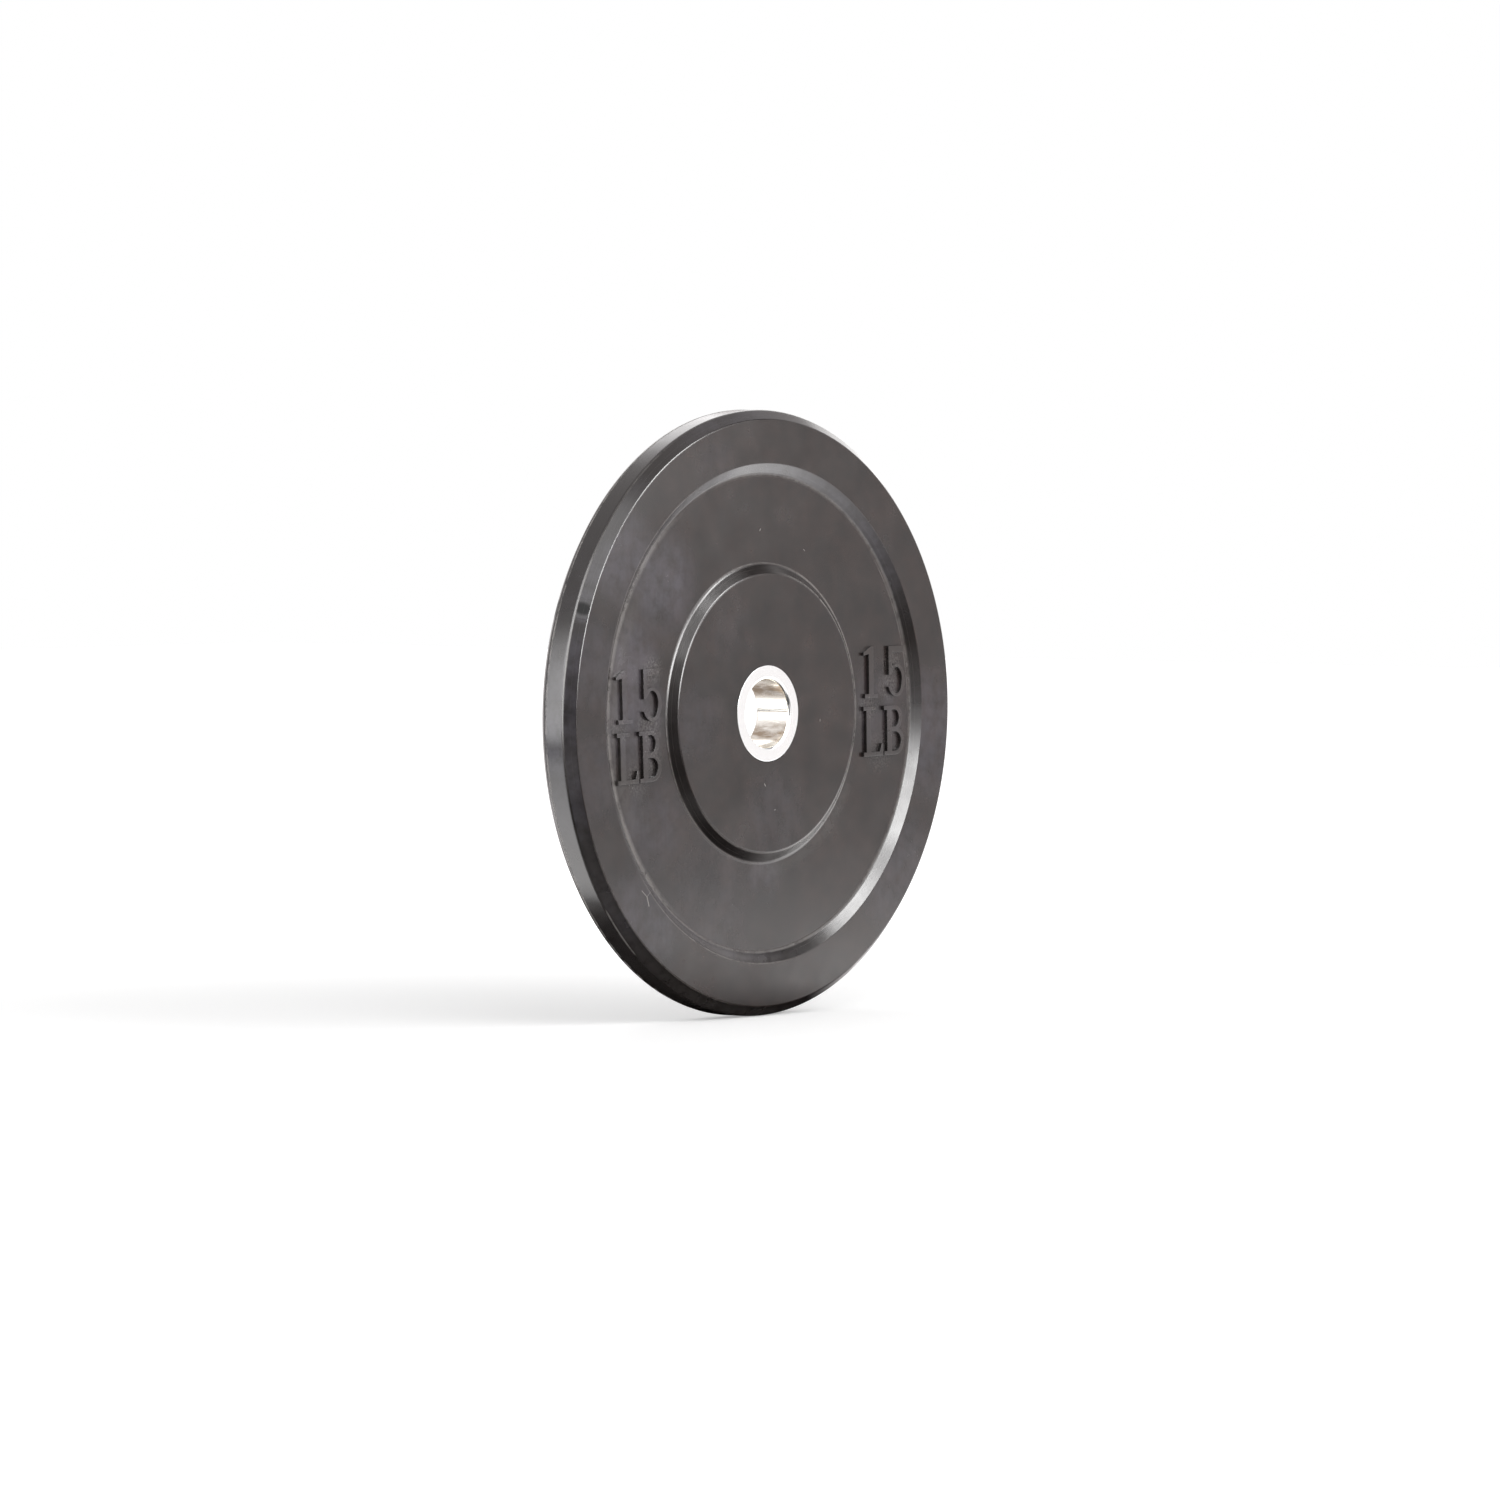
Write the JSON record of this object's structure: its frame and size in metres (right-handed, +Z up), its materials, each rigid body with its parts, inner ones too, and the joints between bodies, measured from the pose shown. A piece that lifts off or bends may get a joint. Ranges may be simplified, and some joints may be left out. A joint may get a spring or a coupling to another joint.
{
  "type": "bumper plate",
  "caption": "Round rubber bumper plate with a bevelled tread, recessed web, raised hub and a flush steel insert that slides on a 50 mm bar sleeve.",
  "frame": {"origin": "on the bore axis, halfway between the two faces", "axes": "+Z up with the plate standing on its tread, Y along the bore axis with the pictured face towards -Y, X across the face"},
  "size_m": [0.4496, 0.0324, 0.4496],
  "materials": {
    "black_rubber": "smooth moulded, low sheen",
    "turned_steel": "turned and polished",
    "plain_steel": "plain punched sheet"
  },
  "bodies": {
    "root": {"rubber_disc": "black_rubber", "insert_sleeve": "turned_steel", "anchor_plate": "plain_steel"}
  },
  "joints": []
}
